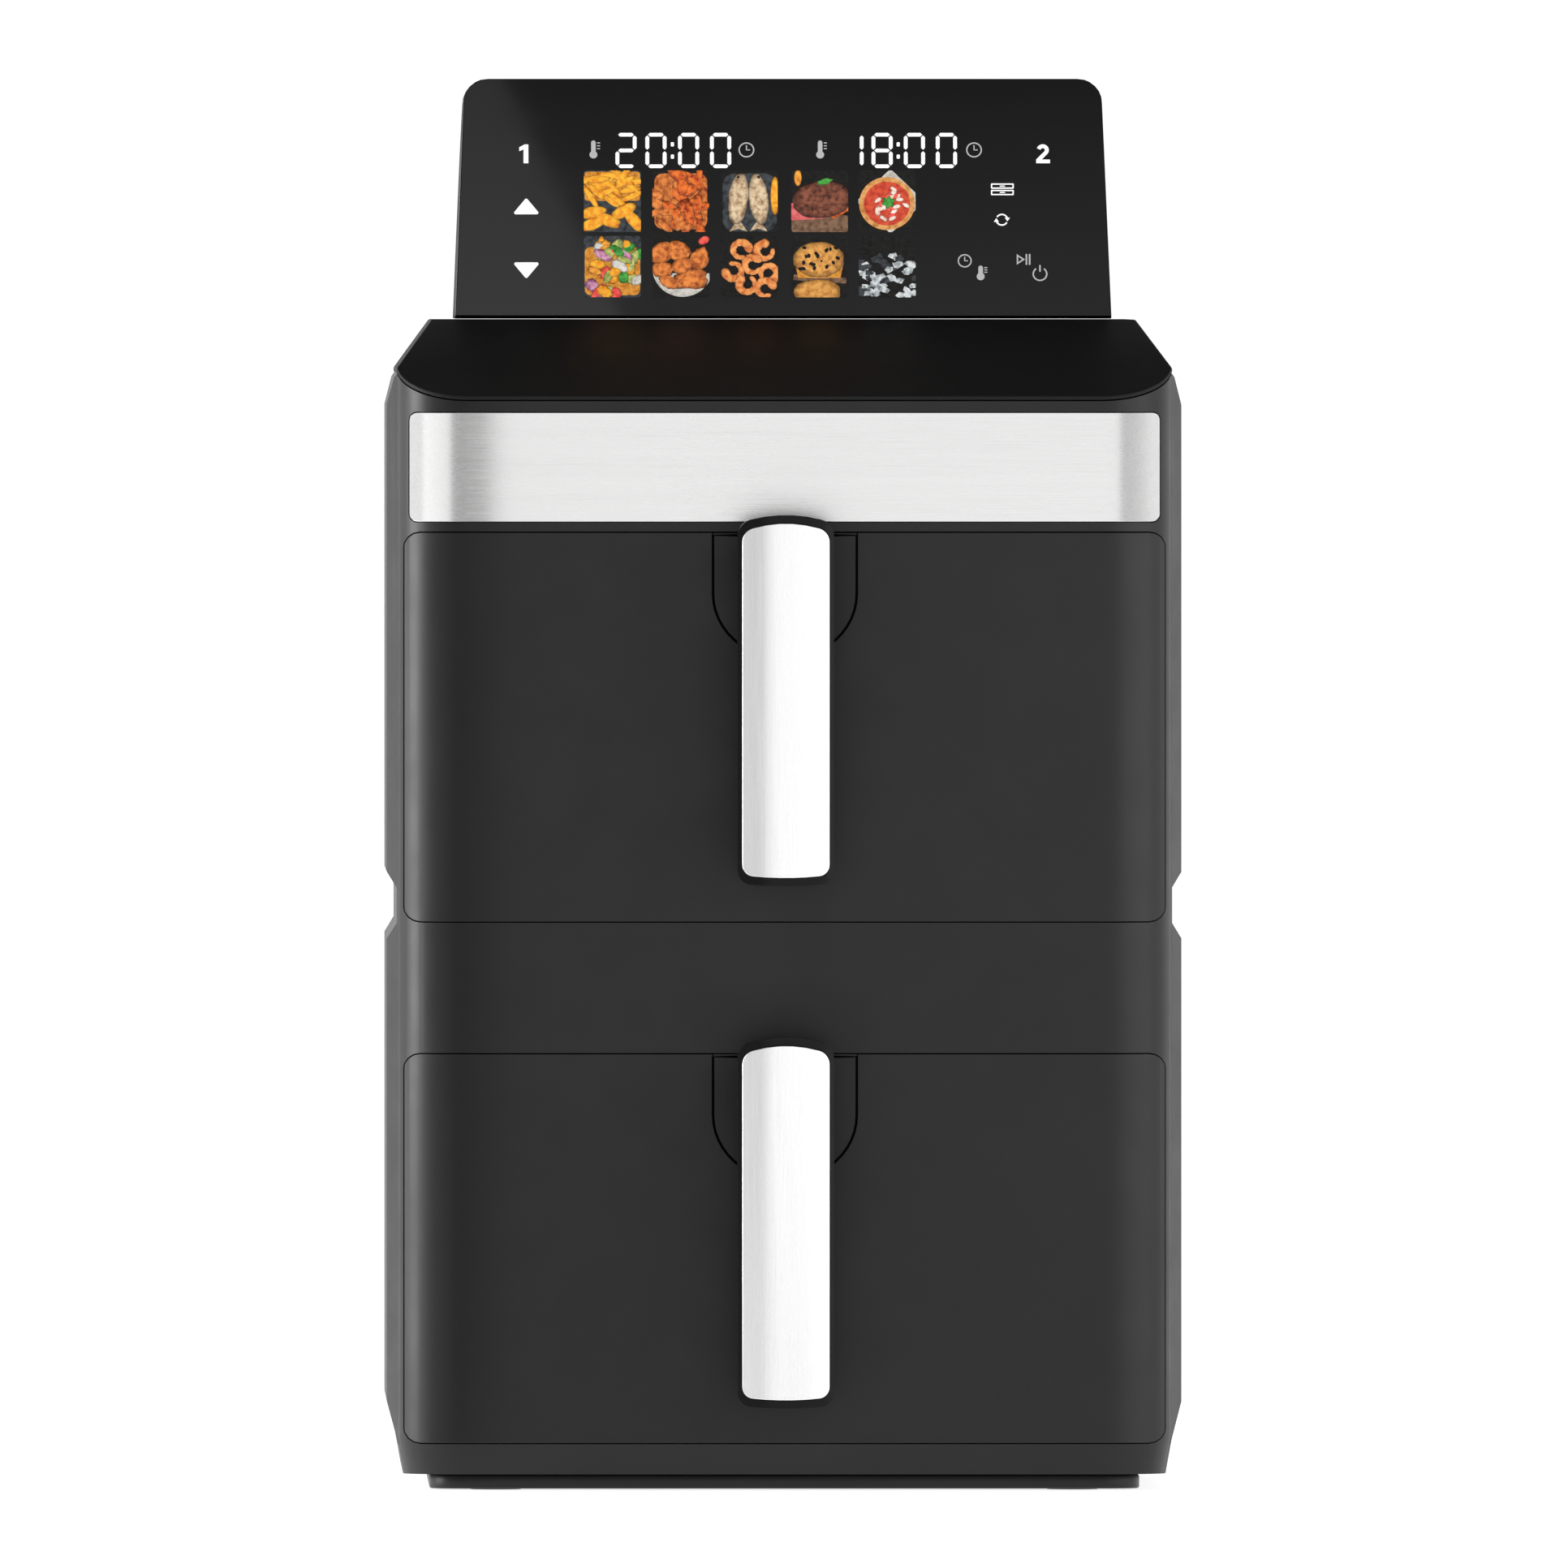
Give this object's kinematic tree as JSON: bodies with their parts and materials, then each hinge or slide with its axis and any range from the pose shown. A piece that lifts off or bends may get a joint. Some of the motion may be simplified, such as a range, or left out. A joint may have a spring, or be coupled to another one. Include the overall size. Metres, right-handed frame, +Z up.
{
  "type": "air fryer",
  "caption": "Tall narrow air fryer with two stacked slide-out drawers, upright touch display, sloping black cap and metal-faced vertical handles.",
  "frame": {"origin": "on the floor, under the middle of the whole box, handles and wall spacers included", "axes": "+Z up; the drawers and the display face -Y; +X is to the right as seen from the front"},
  "size_m": [0.27, 0.38, 0.4796],
  "materials": {
    "housing_plastic": "satin dark grey moulded plastic with a fine grain",
    "cap_plastic": "black semi-gloss",
    "band_steel": "brushed along its length",
    "handle_metal": "bright satin metal",
    "display_glass": "black touch panel with a gloss face",
    "black_rubber": "matt",
    "seal_silicone": "matt silicone",
    "coated_steel": "dark non-stick coating",
    "chamber_steel": "plain coated sheet metal",
    "heater_steel": "heat-darkened tube",
    "fan_aluminium": "stamped sheet",
    "motor_steel": "plated steel can",
    "circuit_board": "green solder resist",
    "switch_plastic": "moulded",
    "screw_steel": "zinc plated"
  },
  "bodies": {
    "housing": {"front_frame": "housing_plastic", "side_cover_left": "housing_plastic", "side_cover_right": "housing_plastic", "rear_cover": "housing_plastic", "base_tray": "housing_plastic", "base_plinth": "housing_plastic", "top_cap": "cap_plastic", "display_housing": "cap_plastic", "foot_front_left": "black_rubber", "foot_front_right": "black_rubber", "foot_rear_left": "black_rubber", "foot_rear_right": "black_rubber", "cord_gland": "black_rubber", "steel_band": "band_steel", "display_glass": "display_glass", "display_board": "circuit_board", "power_board": "circuit_board", "rear_screw_lower_left": "screw_steel", "rear_screw_lower_right": "screw_steel", "rear_screw_upper_left": "screw_steel", "rear_screw_upper_right": "screw_steel", "lower_cavity_liner": "chamber_steel", "lower_heater_coil": "heater_steel", "lower_heater_guard": "chamber_steel", "lower_fan_motor": "motor_steel", "lower_motor_bracket": "chamber_steel", "lower_temperature_probe": "screw_steel", "lower_interlock_switch": "switch_plastic", "lower_exhaust_duct": "chamber_steel", "upper_cavity_liner": "chamber_steel", "upper_heater_coil": "heater_steel", "upper_heater_guard": "chamber_steel", "upper_fan_motor": "motor_steel", "upper_motor_bracket": "chamber_steel", "upper_temperature_probe": "screw_steel", "upper_interlock_switch": "switch_plastic", "upper_exhaust_duct": "chamber_steel"},
    "lower_drawer": {"lower_drawer_front": "housing_plastic", "lower_drawer_panel": "housing_plastic", "lower_basket": "coated_steel", "lower_basket_bracket": "chamber_steel", "lower_handle_base": "housing_plastic", "lower_handle_grip": "cap_plastic", "lower_handle_trim": "handle_metal"},
    "lower_crisper": {"lower_crisper_plate": "coated_steel", "lower_plate_ring": "seal_silicone"},
    "lower_fan": {"lower_fan_wheel": "fan_aluminium"},
    "lower_plunger": {"lower_switch_plunger": "switch_plastic"},
    "upper_drawer": {"upper_drawer_front": "housing_plastic", "upper_drawer_panel": "housing_plastic", "upper_basket": "coated_steel", "upper_basket_bracket": "chamber_steel", "upper_handle_base": "housing_plastic", "upper_handle_grip": "cap_plastic", "upper_handle_trim": "handle_metal"},
    "upper_crisper": {"upper_crisper_plate": "coated_steel", "upper_plate_ring": "seal_silicone"},
    "upper_fan": {"upper_fan_wheel": "fan_aluminium"},
    "upper_plunger": {"upper_switch_plunger": "switch_plastic"}
  },
  "joints": [
    {"name": "lower_drawer_slide", "type": "slide", "parent": "housing", "child": "lower_drawer", "axis": [0, -1, 0], "range_m": [0, 0.22]},
    {"name": "lower_crisper_lift", "type": "slide", "parent": "lower_drawer", "child": "lower_crisper", "axis": [0, 0, 1], "range_m": [0, 0.065]},
    {"name": "lower_fan_spin", "type": "hinge", "parent": "housing", "child": "lower_fan", "pos_m": [0, -0.001, 0.1412], "axis": [0, 0, 1], "continuous": true},
    {"name": "lower_plunger_slide", "type": "slide", "parent": "housing", "child": "lower_plunger", "axis": [0, 1, 0], "range_m": [0, 0.0015], "stiffness_N_per_m": 120, "springref_m": -0.001},
    {"name": "upper_drawer_slide", "type": "slide", "parent": "housing", "child": "upper_drawer", "axis": [0, -1, 0], "range_m": [0, 0.22]},
    {"name": "upper_crisper_lift", "type": "slide", "parent": "upper_drawer", "child": "upper_crisper", "axis": [0, 0, 1], "range_m": [0, 0.065]},
    {"name": "upper_fan_spin", "type": "hinge", "parent": "housing", "child": "upper_fan", "pos_m": [0, -0.001, 0.3182], "axis": [0, 0, 1], "continuous": true},
    {"name": "upper_plunger_slide", "type": "slide", "parent": "housing", "child": "upper_plunger", "axis": [0, 1, 0], "range_m": [0, 0.0015], "stiffness_N_per_m": 120, "springref_m": -0.001}
  ]
}
